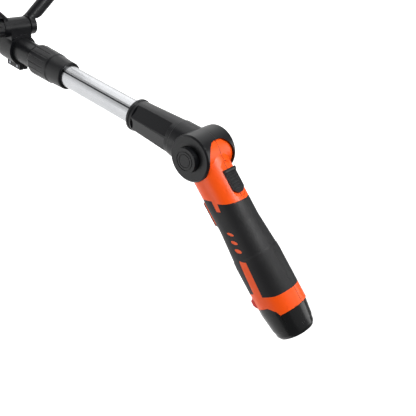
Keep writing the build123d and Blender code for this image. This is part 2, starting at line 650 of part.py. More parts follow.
# ================================================================ telescopic pole
def build_inner_tube():
    tube = rod_x(-TUBE_INNER_END, -TUBE_SOCKET, TUBE_RADIUS) - rod_x(-FAR * 3, 0, TUBE_RADIUS - TUBE_WALL)
    groove = Rot(GROOVE_ANGLE, 0, 0) * rod_x(-TUBE_INNER_END, -COLLAR_END + 12, 1.1, z=TUBE_RADIUS + 0.5)
    save("inner_tube", Pos(0, 0, POLE_OFFSET) * (tube - groove), POLE_FRAME)
    bush = rod_x(-TUBE_INNER_END - 12, -TUBE_INNER_END, OUTER_TUBE_RADIUS - OUTER_TUBE_WALL - RUN)
    bush += rod_x(-TUBE_INNER_END, -TUBE_INNER_END + 18, TUBE_RADIUS - TUBE_WALL)
    bush -= rod_x(-FAR * 3, 0, 8.0)
    save("tube_bush", Pos(0, 0, POLE_OFFSET) * bush, POLE_FRAME)


def build_outer_tube():
    bore = OUTER_TUBE_RADIUS - OUTER_TUBE_WALL
    top = -SLEEVE_START - 9.0
    bottom = -POLE_LENGTH + 55.0
    tube = rod_x(bottom, top, OUTER_TUBE_RADIUS) - rod_x(-FAR * 3, 0, bore)
    save("outer_tube", Pos(0, 0, POLE_OFFSET) * tube, POLE_FRAME)
    collet = rod_x(top - 32, top, bore) + rod_x(top, top + 2.0, OUTER_TUBE_RADIUS)
    collet -= rod_x(-FAR * 3, 0, TUBE_RADIUS + RUN)
    save("collet", Pos(0, 0, POLE_OFFSET) * collet, POLE_FRAME)
    s = -SLEEVE_START
    outline = [
        (s, TUBE_RADIUS + 0.35),
        (s, TUBE_RADIUS + 2.6),
        (s - 1.2, TUBE_RADIUS + 3.4),
        (s - 24, TUBE_RADIUS + 4.4),
        (s - 26, TUBE_RADIUS + 5.4),
        (s - SLEEVE_LENGTH + 4, TUBE_RADIUS + 6.0),
        (s - SLEEVE_LENGTH, TUBE_RADIUS + 4.6),
        (s - SLEEVE_LENGTH, OUTER_TUBE_RADIUS + GAP),
        (s - 6.5, OUTER_TUBE_RADIUS + GAP),
        (s - 6.5, TUBE_RADIUS + 0.35),
    ]
    sleeve = turned_x(outline)
    for i in range(18):
        flute = rod_x(s - SLEEVE_LENGTH - 1, s - 30, 1.5, z=TUBE_RADIUS + 6.6)
        sleeve -= Rot(i * 20, 0, 0) * flute
    save("lock_sleeve", Pos(0, 0, POLE_OFFSET) * sleeve, POLE_FRAME)


YOKE_HALF = EAR_HALF + GAP + YOKE_EAR
TILT_BUTTON_X = -POLE_LENGTH + 35.0
TILT_BUTTON_RADIUS = 6.0


def build_yoke():
    pivot_x = -POLE_LENGTH
    bore = OUTER_TUBE_RADIUS - OUTER_TUBE_WALL
    body = rod_x(pivot_x + 55, pivot_x + 95, bore)
    body += turned_x([(pivot_x + 55, 0), (pivot_x + 55, 17.2), (pivot_x + 30, 19.0), (pivot_x + 22, 19.0), (pivot_x + 22, 0)])
    fork = block(pivot_x, pivot_x + 26, -YOKE_HALF, YOKE_HALF, -EAR_RADIUS, EAR_RADIUS)
    fork += rod_y(-YOKE_HALF, YOKE_HALF, EAR_RADIUS + 0.8, pivot_x)
    slot = block(pivot_x - 40, pivot_x + 1, -EAR_HALF - GAP, EAR_HALF + GAP, -40, 40)
    slot += rod_y(-EAR_HALF - GAP, EAR_HALF + GAP, EAR_RADIUS + 2.5, pivot_x)
    body += fork
    body -= slot
    body -= rod_y(-FAR, FAR, 4.0, pivot_x)
    body -= rod_y(YOKE_HALF - 3.4, FAR, 6.6, pivot_x)
    body -= rod_y(-FAR, -YOKE_HALF + 3.4, 6.6, pivot_x)
    body -= rod_z(3.0, 40, TILT_BUTTON_RADIUS + GAP, TILT_BUTTON_X)
    save("pole_yoke", Pos(0, 0, POLE_OFFSET) * body, POLE_FRAME)
    bolt = rod_y(-YOKE_HALF, YOKE_HALF - 3.4, 4.0, pivot_x)
    bolt += rod_y(YOKE_HALF - 3.4, YOKE_HALF - 0.2, 6.4, pivot_x)
    bolt -= Pos(pivot_x, YOKE_HALF, 0) * Rot(90, 0, 0) * extrude(RegularPolygon(3.0, 6), 2.4, both=True)
    save("tilt_bolt", Pos(0, 0, POLE_OFFSET) * bolt, POLE_FRAME)
    nut = Pos(pivot_x, -YOKE_HALF + 3.4, 0) * Rot(90, 0, 0) * extrude(RegularPolygon(6.4, 6), 3.0)
    nut -= rod_y(-FAR, FAR, 4.0, pivot_x)
    save("tilt_nut", Pos(0, 0, POLE_OFFSET) * nut, POLE_FRAME)
    button = rod_z(13.0, 22.2, TILT_BUTTON_RADIUS, TILT_BUTTON_X)
    button -= Pos(TILT_BUTTON_X, 0, 25.6) * Sphere(5.0)
    save("tilt_button", Pos(0, 0, POLE_OFFSET) * button, POLE_FRAME)
    save("tilt_spring", Pos(0, 0, POLE_OFFSET) * coil_z(3.0, 13.0, 4.0, 0.5, 5, TILT_BUTTON_X), POLE_FRAME)


def build_aux_handle():
    x = -AUX_PLACE
    radius = OUTER_TUBE_RADIUS
    clamp = rod_x(x - 14, x + 14, radius + 4.2)
    clamp += block(x - 11, x + 11, -15, 15, 12, AUX_PIVOT_Z) + rod_y(-15, 15, 11, x, AUX_PIVOT_Z)
    clamp += block(x - 14, x + 14, -6, 6, -radius - 11, -radius)
    clamp -= rod_x(x - 20, x + 20, radius)
    clamp -= block(x - 20, x + 20, -0.8, 0.8, -radius - 20, -radius + 3)
    clamp -= rod_y(-20, 20, 3.0, x, AUX_PIVOT_Z)
    for dx in (-8, 8):
        clamp -= rod_y(-20, 20, 1.9, x + dx, -radius - 7)
    save("aux_clamp", Pos(0, 0, POLE_OFFSET) * clamp, POLE_FRAME)
    screws = []
    for dx in (-8, 8):
        screws.append(screw_y(8.3, -6.5, 1.9, x + dx, -radius - 7))
    save("clamp_screws", Pos(0, 0, POLE_OFFSET) * Compound(children=screws), POLE_FRAME)
    hub_in = 15 + GAP
    hub_out = hub_in + 8
    half = AUX_WIDTH / 2
    top = AUX_PIVOT_Z + AUX_HEIGHT
    points = [
        (x, -hub_in - 4, AUX_PIVOT_Z + 6),
        (x, -half, AUX_PIVOT_Z + 42),
        (x, -half + 4, top),
        (x, half - 4, top),
        (x, half, AUX_PIVOT_Z + 42),
        (x, hub_in + 4, AUX_PIVOT_Z + 6),
    ]
    path = FilletPolyline(*points, radius=22)
    ring = Plane(origin=path @ 0, z_dir=path % 0) * Circle(AUX_BAR)
    loop = sweep(ring, path=path)
    for side in (-1, 1):
        hub = rod_y(side * hub_in, side * hub_out, 12.5, x, AUX_PIVOT_Z)
        loop -= rod_y(side * hub_in, -side * hub_in, 40, x, AUX_PIVOT_Z) & rod_y(-hub_in, hub_in, 30, x, AUX_PIVOT_Z)
        loop += hub
    loop -= rod_y(-FAR, FAR, 3.0 + RUN, x, AUX_PIVOT_Z)
    loop -= rod_y(hub_out, hub_out + 60, 13.0, x, AUX_PIVOT_Z) + rod_y(-hub_out - 60, -hub_out, 16.5, x, AUX_PIVOT_Z)
    save("aux_loop", Pos(0, 0, POLE_OFFSET) * loop, POLE_FRAME)
    bolt = rod_y(-hub_out - 12, hub_out + 0.3, 3.0, x, AUX_PIVOT_Z) + rod_y(hub_out + 0.3, hub_out + 4, 6.0, x, AUX_PIVOT_Z)
    save("aux_bolt", Pos(0, 0, POLE_OFFSET) * bolt, POLE_FRAME)
    knob = rod_y(-hub_out - 14.5, -hub_out - 0.4, 12.0, x, AUX_PIVOT_Z)
    for i in range(3):
        lobe = Rot(0, i * 120, 0) * rod_y(-hub_out - 14.5, -hub_out - 3, 5.0, 10.0, 0)
        knob += Pos(x, 0, AUX_PIVOT_Z) * lobe
    knob -= rod_y(-hub_out - 12.2, 0, 3.0 + RUN, x, AUX_PIVOT_Z)
    save("aux_knob", Pos(0, 0, POLE_OFFSET) * knob, POLE_FRAME)


# ================================================================ cutting head
HEAD_SCREWS = ((-28.0, 57.0), (-27.0, 78.0), (27.0, 78.0), (28.0, 57.0))
GUARD_SCREWS = ((29.0, 8.0), (29.0, -8.0), (-29.0, 8.0), (-29.0, -8.0))


def build_head():
    outline = [(0, HEAD_FLOOR), (HEAD_RADIUS, HEAD_FLOOR), (HEAD_RADIUS, HEAD_FLOOR + 16), (31, 90), (26, HEAD_TOP), (0, HEAD_TOP)]
    body = turned_z(outline)
    body += rod_y(-EAR_HALF, EAR_HALF, EAR_RADIUS, HEAD_PIVOT_X, HEAD_PIVOT_Z)
    body += block(HEAD_PIVOT_X - EAR_RADIUS, HEAD_PIVOT_X + 10, -EAR_HALF, EAR_HALF, 85, HEAD_PIVOT_Z)
    w = HEAD_WALL
    body -= turned_z([(0, HEAD_FLOOR + w), (HEAD_RADIUS - w, HEAD_FLOOR + w), (HEAD_RADIUS - w, HEAD_FLOOR + 16), (31 - w, 90), (0, 90)])
    for x, z in HEAD_SCREWS:
        boss = rod_y(-FAR, FAR, 4.4, x, z) & turned_z(outline)
        body += boss - rod_z(0, 89, MOTOR_RADIUS + 0.4)
    body -= rod_y(-FAR, FAR, 4.0 + RUN, HEAD_PIVOT_X, HEAD_PIVOT_Z)
    body -= rod_z(40, 60, 8.0)
    for x, z in HEAD_SCREWS:
        body -= rod_y(-7.0, FAR, SCREW_RADIUS + SCREW_PLAY, x, z)
        body -= rod_y(12.0, FAR, SCREW_RADIUS * 1.9 + SCREW_PLAY, x, z)
    for x, y in GUARD_SCREWS:
        body -= rod_z(40, 54, 1.9, x, y)
    save("head_shell_left", left_half(body))
    save("head_shell_right", right_half(body))
    save("head_screws", Compound(children=[screw_y(14.2, -7.0, SCREW_RADIUS, x, z) for x, z in HEAD_SCREWS]))
    motor = rod_z(HEAD_FLOOR + w, 86, MOTOR_RADIUS) + rod_z(86, 89, 10)
    save("motor", motor - rod_z(0, 80, MOTOR_SHAFT + RUN))


CUTTER_ANGLE = 60.0


def sector(radius, z0, z1):
    """A slice of a disc that opens towards the user."""
    a = math.radians(GUARD_HALF_ANGLE)
    reach = radius * 3
    corner = (reach * math.cos(a), reach * math.sin(a))
    outline = Polyline((0, 0), corner, (reach, reach), (reach, -reach), (corner[0], -corner[1]), close=True)
    return rod_z(z0, z1, radius) & Pos(0, 0, z0) * extrude(make_face(outline), z1 - z0)


def build_guard():
    guard = sector(GUARD_RADIUS, GUARD_LOW, GUARD_TOP) - sector(GUARD_RADIUS - GUARD_WALL, GUARD_LOW - 1, GUARD_TOP - GUARD_WALL)
    guard += rod_z(GUARD_TOP - GUARD_WALL, HEAD_FLOOR, 52)
    for angle in (-60, -20, 20, 60):
        guard += Rot(0, 0, angle) * block(40, GUARD_RADIUS - 2, -1.5, 1.5, GUARD_TOP - 1, GUARD_TOP + 3)
    for side in (-1, 1):
        guard += rod_y(side * (GUARD_RADIUS - 3.5), side * (HOOP_RADIUS - 3), 5.5, HOOP_X, HOOP_Z)
    guard -= rod_y(-HOOP_RADIUS - 1, -GUARD_RADIUS + 0.5, HOOP_WIRE + RUN, HOOP_X, HOOP_Z)
    guard -= rod_y(GUARD_RADIUS - 0.5, HOOP_RADIUS + 1, HOOP_WIRE + RUN, HOOP_X, HOOP_Z)
    guard -= rod_z(30, 60, 9.0)
    for x, y in GUARD_SCREWS:
        guard -= rod_z(30, 60, 1.9, x, y)
        guard -= rod_z(30, GUARD_TOP - 1.2, 3.7, x, y)
    save("guard", guard)
    save("guard_screws", Compound(children=[screw_z(GUARD_TOP - 3.4, 54, 1.8, x, y) for x, y in GUARD_SCREWS]))
    blade = block(CUT_RADIUS + 0.7, GUARD_RADIUS - GUARD_WALL - 1.0, -9, 9, GUARD_LOW + 3, GUARD_LOW + 23)
    blade -= Pos(CUT_RADIUS + 0.7, -9, 0) * Rot(0, 0, 30) * block(-4, 0, -3, 6, 0, 60)
    save("line_cutter", Rot(0, 0, CUTTER_ANGLE) * blade)
    hoop = Pos(HOOP_X, 0, HOOP_Z) * Torus(HOOP_RADIUS, HOOP_WIRE) & block(-FAR, HOOP_X, -FAR, FAR, 0, 60)
    for side in (-1, 1):
        hoop += rod_y(side * (GUARD_RADIUS - 0.2), side * HOOP_RADIUS, HOOP_WIRE, HOOP_X, HOOP_Z)
        hoop += Pos(HOOP_X, side * HOOP_RADIUS, HOOP_Z) * Sphere(HOOP_WIRE)
    save("plant_guard", hoop)


def build_spool():
    shaft = rod_z(12, 60, MOTOR_SHAFT)
    save("drive_shaft", shaft)
    r = SPOOL_RADIUS
    housing = turned_z([(0, SPOOL_TOP), (r - 5, SPOOL_TOP), (r, SPOOL_TOP - 4), (r, 8), (0, 8)])
    housing -= rod_z(0, SPOOL_TOP - 3, r - 2.5)
    housing += rod_z(22.5, SPOOL_TOP + 3, 8.0)
    for angle in (0, 180):
        housing += Rot(0, 0, angle) * rod_x(r - 2.0, r + 1.5, 4.0, z=LINE_HEIGHT)
        housing -= Rot(0, 0, angle) * rod_x(r - 5, r + 5, LINE_RADIUS + 0.6, z=LINE_HEIGHT)
    for i in range(12):
        housing -= Rot(0, 0, 15 + i * 30) * rod_z(6, 20, 1.6, r + 0.8)
    housing -= rod_z(0, 80, MOTOR_SHAFT)
    save("spool_housing", housing)
    cap = turned_z([(0, 0), (26, 0), (r - 4, 2.5), (r, 7.5), (r, 8), (0, 8)])
    cap += rod_z(8, 11, r - 2.5)
    cap -= rod_z(3, 20, r - 5)
    cap += rod_z(2.9, 11.5, 9.0)
    cap -= rod_z(8, 12, MOTOR_SHAFT + 0.2)
    save("spool_cap", cap)
    spool = rod_z(11.6, 13.2, 36) + rod_z(11.6, 22.2, 14) + rod_z(20.6, 22.2, 36)
    spool -= rod_z(0, 60, MOTOR_SHAFT + 3)
    save("line_spool", spool)
    save("wound_line", rod_z(13.2, 20.6, 31) - rod_z(0, 60, 14))
    tail = rod_x(-CUT_RADIUS, -31, LINE_RADIUS, z=LINE_HEIGHT)
    save("cutting_line", tail)


build_handle()
build_handle_inside()
build_thumb_slider()
build_trigger()
build_battery()
build_latch()
build_knuckle()
build_pivot_lock()
build_inner_tube()
build_outer_tube()
build_yoke()
build_aux_handle()
build_head()
build_guard()
build_spool()
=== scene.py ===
"""Looks for a string trimmer with a swivelling battery handle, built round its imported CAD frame."""

import json
import math

import bpy
from bpy.props import FloatProperty, FloatVectorProperty, IntProperty, PointerProperty
from mathutils import Matrix, Vector


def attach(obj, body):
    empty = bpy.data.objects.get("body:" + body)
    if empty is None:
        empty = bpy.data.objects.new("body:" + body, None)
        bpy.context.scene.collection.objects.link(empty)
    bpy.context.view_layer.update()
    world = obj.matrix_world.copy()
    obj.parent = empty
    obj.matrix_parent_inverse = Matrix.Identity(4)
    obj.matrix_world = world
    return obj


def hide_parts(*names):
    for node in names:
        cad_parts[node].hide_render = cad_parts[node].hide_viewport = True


bl_info = {
    "name": "String Trimmer",
    "version": (1, 0, 0),
    "blender": (4, 5, 0),
    "location": "View3D > Sidebar > Trimmer",
    "description": "Finishes and fine pieces of a battery string trimmer",
    "category": "Add Mesh",
}

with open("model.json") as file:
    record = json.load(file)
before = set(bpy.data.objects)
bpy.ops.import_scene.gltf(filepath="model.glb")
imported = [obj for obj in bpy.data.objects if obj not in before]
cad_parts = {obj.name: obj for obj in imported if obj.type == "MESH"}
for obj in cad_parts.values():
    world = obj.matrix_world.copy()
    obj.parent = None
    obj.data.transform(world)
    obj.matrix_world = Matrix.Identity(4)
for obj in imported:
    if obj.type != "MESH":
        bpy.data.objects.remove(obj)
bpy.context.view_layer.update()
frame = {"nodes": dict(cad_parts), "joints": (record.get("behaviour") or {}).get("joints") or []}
NODES = frame["nodes"]
JOINTS = {joint["name"]: joint for joint in frame["joints"]}
MM = 0.001

# Two working frames, as in the CAD: X runs away from the head along the piece, Z is its top side.
PIVOT = Vector(JOINTS["handle_swivel"]["pos_m"])
HANDLE_OUT = Vector(JOINTS["battery_slide"]["axis"])
POLE_OUT = -Vector(JOINTS["telescope"]["axis"])


def working_frame(out, origin=PIVOT):
    """The matrix of a frame at origin whose X is out and whose Y is the world's."""
    side = Vector((0, 1, 0))
    up = out.cross(side)
    turn = Matrix((out, side, up)).transposed().to_4x4()
    return Matrix.Translation(origin) @ turn


HANDLE = working_frame(HANDLE_OUT)
POLE = working_frame(POLE_OUT)
POLE_LIFT = 1.5 * MM  # the pole's axis lies above the handle pivot
HANDLE_DROP = -1.4 * MM
COLLAR = POLE @ Matrix.Translation((0, 0, POLE_LIFT))
GRIP_AXIS = HANDLE @ Matrix.Translation((0, 0, HANDLE_DROP))

# The knuckle's collar, a cone from its step to its tip, and the flat panels let into it.
COLLAR_END = 101.0 * MM
COLLAR_STEP = 33.5 * MM
COLLAR_TIP = 18.2 * MM
COLLAR_BASE = 20.8 * MM
PANEL_INSET = 8.0 * MM
TUBE_RADIUS = 14.0 * MM
# The tube's groove is painted dark as shade; these depths say where that painted shade begins and where it
# is full.
GROOVE_SKIN = 0.02 * MM  # how deep the tube's skin counts as its skin
GROOVE_DARK = 0.12 * MM  # how deep its groove is fully dark

POLISHED = 0.13  # roughness where the tool was polished
SEAM_HALF = 0.28 * MM
SEAM_SHADE = 0.12  # a parting line's colour, as a share of the piece's own
SLOW_SHIFT = 28 * MM  # how far apart a moulding's slow shifts of gloss are
METAL_BLOOM = 18 * MM
SHARP_ANGLE = math.radians(35)

# Screws: the heads' places in side view, or from above for the guard's, in millimetres.
HANDLE_SCREWS = ((37.0, -11.0), (87.0, -11.5), (87.0, 12.5), (112.0, -11.5))
KNUCKLE_SCREWS = ((-27.0, 12.0), (-27.0, -9.0))
HEAD_SCREWS = ((-28.0, 57.0), (-27.0, 78.0), (27.0, 78.0), (28.0, 57.0))
GUARD_SCREWS = ((29.0, 8.0), (29.0, -8.0), (-29.0, 8.0), (-29.0, -8.0))
CLAMP_SCREWS = ((-339.0, -23.0), (-323.0, -23.0))
SCREW_RADIUS = 1.8
CLAMP_SCREW_RADIUS = 1.9
GUARD_SCREW_TOP = 39.6  # the guard's screws are driven from below

# The plane that each set's heads lie in, to the right of the mid-plane, and the screws' lengths.
HANDLE_FACE, HANDLE_SCREW_LENGTH = 14.0, 23.0
KNUCKLE_FACE, KNUCKLE_SCREW_LENGTH = 11.2, 25.2
HEAD_FACE, HEAD_SCREW_LENGTH = 14.2, 21.2
CLAMP_FACE, CLAMP_SCREW_LENGTH = 8.3, 14.8
GUARD_SCREW_LENGTH = 14.4

# Louvres: the lower and the upper end of a rib on the motor housing's cone, and their spacing.
LOUVRE_LOW = Vector((35.3 * MM, 0, 67 * MM))
LOUVRE_HIGH = Vector((31.8 * MM, 0, 86 * MM))
LOUVRE_RADIUS = 1.1 * MM
LOUVRE_STEP = 9.0  # degrees

LINE_RADIUS = 0.8 * MM
DRUM_RADIUS = 31.8 * MM
DRUM_FLOOR = 14.2 * MM
LINE_TURNS = 3.5

# ---------------------------------------------------------------- camera and lights
CAMERA_AZIMUTH = math.radians(-12.77)
CAMERA_ELEVATION = math.radians(44.33)
CAMERA_ROLL = math.radians(78.68)
CAMERA_DISTANCE = 0.560
CAMERA_RIGHT = 0.0050  # the camera's place beside and below the line to the handle pivot
CAMERA_UP = -0.0588
CAMERA_LENS = 45.46
CAMERA_SENSOR = 36.0
CAMERA_NEAR = 0.01

# Soft lights round the handle: where each stands to the camera's right, above it and in front of it,
# how far from the handle pivot it is, its width, and its power.
LIGHTS = (
    ("key", (0.7, 0.5, 0.75), 1.2, 0.45, 13.0),
    ("rim", (1.0, 0.1, -0.1), 1.1, 0.6, 2.5),
    ("fill", (-0.8, -0.3, 0.5), 1.4, 0.8, 4.0),
    # A large panel that the upper side of the bright tube mirrors; the floor lights its lower side.
    ("panel", (0.0, 1.0, 0.05), 1.1, 1.4, 7.0),
)
CEILING_AIM = Vector((0.2, 0, 0.3))
CEILING_HEIGHT = 3.2
CEILING_SIZE = 4.0
CEILING_POWER = 12


def linear(code):
    """An sRGB hex colour as linear red, green and blue."""
    parts = [int(code[i : i + 2], 16) / 255 for i in (1, 3, 5)]
    return tuple(c / 12.92 if c <= 0.04045 else ((c + 0.055) / 1.055) ** 2.4 for c in parts)


# ---------------------------------------------------------------- nodes and materials
def add_node(tree, kind, settings=None, links=None):
    """Adds one node: settings are its own values or its inputs', links feed its inputs."""
    node = tree.nodes.new(kind)
    for name, value in (settings or {}).items():
        if isinstance(name, int) or name in node.inputs:
            node.inputs[name].default_value = value
        else:
            setattr(node, name, value)
    for name, source in (links or {}).items():
        tree.links.new(source, node.inputs[name])
    return node


def new_material(name):
    """An empty material, its node tree and its output node."""
    material = bpy.data.materials.new(name)
    material.use_nodes = True
    tree = material.node_tree
    tree.nodes.clear()
    return material, tree, add_node(tree, "ShaderNodeOutputMaterial")


def edge_mask(tree, radius):
    """1 on edges rounded within radius, where the colour is lightened as wear and as a painted highlight, 0
    on open faces.
    """
    bevel = add_node(tree, "ShaderNodeBevel", {"samples": 4, "Radius": radius})
    flat = add_node(tree, "ShaderNodeNewGeometry")
    dot = add_node(
        tree,
        "ShaderNodeVectorMath",
        {"operation": "DOT_PRODUCT"},
        {0: bevel.outputs[0], 1: flat.outputs["True Normal"]},
    )
    mask = add_node(
        tree,
        "ShaderNodeMapRange",
        {"From Min": 0.995, "From Max": 0.8, "To Min": 0.0, "To Max": 1.0},
        {"Value": dot.outputs["Value"]},
    )
    return bevel, mask


def parting_line(tree, place, colour, tone, normal, seam):
    """Adds the line where two tool halves met, on the mid-plane: the new colour and normal."""
    side = add_node(tree, "ShaderNodeSeparateXYZ", links={0: place}).outputs["Y"]
    away = add_node(tree, "ShaderNodeMath", {"operation": "ABSOLUTE"}, {0: side}).outputs[0]
    line = add_node(
        tree,
        "ShaderNodeMapRange",
        {"From Min": SEAM_HALF, "From Max": SEAM_HALF * 1.6, "To Min": seam, "To Max": 0.0},
        {"Value": away},
    ).outputs[0]
    tone = add_node(
        tree,
        "ShaderNodeMix",
        {"data_type": "RGBA", 7: (*(c * SEAM_SHADE for c in colour), 1)},
        {0: line, 6: tone},
    ).outputs[2]
    bump = add_node(
        tree,
        "ShaderNodeBump",
        {"invert": True, "Strength": 1.0, "Distance": 0.2 * MM},
        {"Height": line, "Normal": normal},
    )
    return tone, bump.outputs[0]


def moulded(
    name, colour, edge_wear_and_highlight, rough, grain, depth,
    coat=0.0, edge=0.5 * MM, seam=0.0, polish=None,
):
    """A moulded plastic or rubber: a spark-eroded grain, slow shifts of gloss, and edges lightened as rubbed
    wear and as a painted highlight.
    seam is how dark the parting line on the mid-plane is; polish masks where the tool was polished."""
    material, tree, out = new_material(name)
    place = add_node(tree, "ShaderNodeTexCoord").outputs["Object"]
    fine = add_node(tree, "ShaderNodeTexNoise", {"Scale": 1 / grain, "Detail": 3.0}, {"Vector": place})
    slow = add_node(tree, "ShaderNodeTexNoise", {"Scale": 1 / SLOW_SHIFT, "Detail": 4.0}, {"Vector": place})
    bevel, mask = edge_mask(tree, edge)
    normal = add_node(
        tree,
        "ShaderNodeBump",
        {"Strength": 1.0, "Distance": depth},
        {"Height": fine.outputs["Fac"], "Normal": bevel.outputs[0]},
    ).outputs[0]
    gloss = add_node(
        tree,
        "ShaderNodeMapRange",
        {"From Min": 0.3, "From Max": 0.7, "To Min": rough - 0.05, "To Max": rough + 0.05},
        {"Value": slow.outputs["Fac"]},
    ).outputs[0]
    # On edges the colour is mixed towards a lighter one: partly rubbed wear, partly a painted highlight.
    tone = add_node(
        tree,
        "ShaderNodeMix",
        {"data_type": "RGBA", 6: (*colour, 1), 7: (*edge_wear_and_highlight, 1)},
        {0: mask.outputs[0]},
    ).outputs[2]
    if seam:
        tone, normal = parting_line(tree, place, colour, tone, normal, seam)
    if polish:
        gloss = add_node(
            tree,
            "ShaderNodeMix",
            {"data_type": "FLOAT", 3: POLISHED},
            {0: polish(tree, place), 2: gloss},
        ).outputs[0]
    shader = add_node(
        tree,
        "ShaderNodeBsdfPrincipled",
        {"IOR": 1.42, "Coat Weight": coat, "Coat Roughness": 0.12},
        {"Base Color": tone, "Roughness": gloss, "Normal": normal},
    )
    tree.links.new(shader.outputs[0], out.inputs[0])
    return material


def axis_distance(tree, place):
    """A point's place along the pole and its distance from the pole's axis, as sockets."""
    turned = add_node(
        tree,
        "ShaderNodeMapping",
        {"vector_type": "TEXTURE", "Location": COLLAR.translation, "Rotation": COLLAR.to_euler()},
        {"Vector": place},
    )
    along = add_node(tree, "ShaderNodeSeparateXYZ", links={0: turned.outputs[0]}).outputs
    flat = add_node(tree, "ShaderNodeCombineXYZ", links={1: along["Y"], 2: along["Z"]})
    radius = add_node(tree, "ShaderNodeVectorMath", {"operation": "LENGTH"}, {0: flat.outputs[0]})
    return along["X"], radius.outputs["Value"]


def painted_groove_shade(tree, place):
    """1 down in the groove of the drawn tube, where its shade is painted dark, 0 on its skin."""
    _, radius = axis_distance(tree, place)
    return add_node(
        tree,
        "ShaderNodeMapRange",
        {"From Min": TUBE_RADIUS - GROOVE_SKIN, "From Max": TUBE_RADIUS - GROOVE_DARK},
        {"Value": radius},
    ).outputs[0]


def panel_polish(tree, place):
    """1 on the flat panels let into the collar, 0 elsewhere."""
    along, radius = axis_distance(tree, place)
    cone = add_node(
        tree,
        "ShaderNodeMapRange",
        {"From Min": -COLLAR_END, "From Max": -COLLAR_STEP, "To Min": COLLAR_TIP, "To Max": COLLAR_BASE},
        {"Value": along},
    )
    sunk = add_node(
        tree,
        "ShaderNodeMath",
        {"operation": "SUBTRACT"},
        {0: cone.outputs[0], 1: radius},
    )
    inside = add_node(
        tree, "ShaderNodeMapRange", {"From Min": 0.1 * MM, "From Max": 0.3 * MM}, {"Value": sunk.outputs[0]}
    )
    front = add_node(
        tree,
        "ShaderNodeMapRange",
        {"From Min": -COLLAR_END + PANEL_INSET - 0.5 * MM, "From Max": -COLLAR_END + PANEL_INSET},
        {"Value": along},
    )
    both = add_node(
        tree, "ShaderNodeMath", {"operation": "MULTIPLY"}, {0: inside.outputs[0], 1: front.outputs[0]}
    )
    return both.outputs[0]


def metal(
    name, colour, dark, rough, grain, depth,
    stretch=(1, 1, 1), turn=(0, 0, 0), anisotropic=0.0, painted_shade=None,
):
    """A metal: a grain that may be drawn out along one direction, and painted shade in its hollows.
    The shade mask marks the hollows that are painted dark as shade."""
    material, tree, out = new_material(name)
    place = add_node(tree, "ShaderNodeTexCoord").outputs["Object"]
    turned = add_node(
        tree,
        "ShaderNodeMapping",
        {"vector_type": "TEXTURE", "Rotation": turn, "Scale": stretch},
        {"Vector": place},
    )
    fine = add_node(
        tree, "ShaderNodeTexNoise", {"Scale": 1 / grain, "Detail": 5.0}, {"Vector": turned.outputs[0]}
    )
    slow = add_node(tree, "ShaderNodeTexNoise", {"Scale": 1 / METAL_BLOOM, "Detail": 3.0}, {"Vector": place})
    bevel = add_node(tree, "ShaderNodeBevel", {"samples": 4, "Radius": 0.2 * MM})
    bump = add_node(
        tree,
        "ShaderNodeBump",
        {"Strength": 1.0, "Distance": depth},
        {"Height": fine.outputs["Fac"], "Normal": bevel.outputs[0]},
    )
    gloss = add_node(
        tree,
        "ShaderNodeMapRange",
        {"From Min": 0.3, "From Max": 0.7, "To Min": rough - 0.05, "To Max": rough + 0.07},
        {"Value": fine.outputs["Fac"]},
    )
    tone = add_node(
        tree,
        "ShaderNodeMix",
        {"data_type": "RGBA", 6: (*colour, 1), 7: (*dark, 1)},
        {0: slow.outputs["Fac"]},
    ).outputs[2]
    # Painted shade: the masked hollows are mixed towards a dark grey, which stands in for the shade that
    # falls in them.
    if painted_shade:
        tone = add_node(
            tree,
            "ShaderNodeMix",
            {"data_type": "RGBA", 7: (*linear("#3C3D40"), 1)},
            {0: painted_shade(tree, place), 6: tone},
        ).outputs[2]
    shader = add_node(
        tree,
        "ShaderNodeBsdfPrincipled",
        {"Metallic": 1.0, "Anisotropic": anisotropic},
        {"Base Color": tone, "Roughness": gloss.outputs[0], "Normal": bump.outputs[0]},
    )
    tree.links.new(shader.outputs[0], out.inputs[0])
    return material


def finish(material, *names):
    """Gives carried-over CAD nodes their material."""
    for name in names:
        slots = NODES[name].data.materials
        slots.clear()
        slots.append(material)


# In each moulding below, the second colour is the lighter edge colour, for rubbed wear and a painted
# highlight.
def orange_abs():
    # ABS, injection moulded: a bright orange with a fine spark-eroded grain and a satin sheen.
    return moulded(
        "abs_moulded_orange", linear("#FA5404"), linear("#FF7020"), 0.36, 0.5 * MM, 0.012 * MM, seam=0.75
    )


def black_rubber():
    # Thermoplastic rubber moulded over the shell: near black, dull, with a soft bloom of light.
    return moulded(
        "tpe_overmoulded_black", linear("#111113"), linear("#1C1C1E"), 0.55, 0.7 * MM, 0.03 * MM, seam=0.5
    )


def black_nylon():
    # Glass-filled nylon, moulded: black, satin, with broad clean highlights.
    return moulded("nylon_moulded_black", linear("#0D0E11"), linear("#1B1C1F"), 0.36, 0.5 * MM, 0.012 * MM)


def knuckle_nylon():
    # The same nylon on the knuckle, whose collar has panels polished to a deep gloss.
    return moulded(
        "nylon_moulded_black_panels", linear("#0D0E11"), linear("#1B1C1F"), 0.34, 0.5 * MM, 0.012 * MM,
        seam=0.4, polish=panel_polish,
    )


def black_abs():
    # ABS of the battery case, moulded against a polished tool: black with a shallow gloss.
    return moulded(
        "abs_polished_black", linear("#0D0E0F"), linear("#222326"), 0.27, 0.6 * MM, 0.008 * MM, coat=0.2
    )


def red_abs():
    # ABS, polished: the signal red of the push buttons.
    return moulded(
        "abs_polished_red", linear("#D01C12"), linear("#F0402E"), 0.25, 0.6 * MM, 0.01 * MM, coat=0.3
    )


def grey_pbt():
    # PBT of switches and terminal blocks: mid grey and dull.
    return moulded("pbt_moulded_grey", linear("#55585C"), linear("#7A7D80"), 0.5, 0.5 * MM, 0.02 * MM)


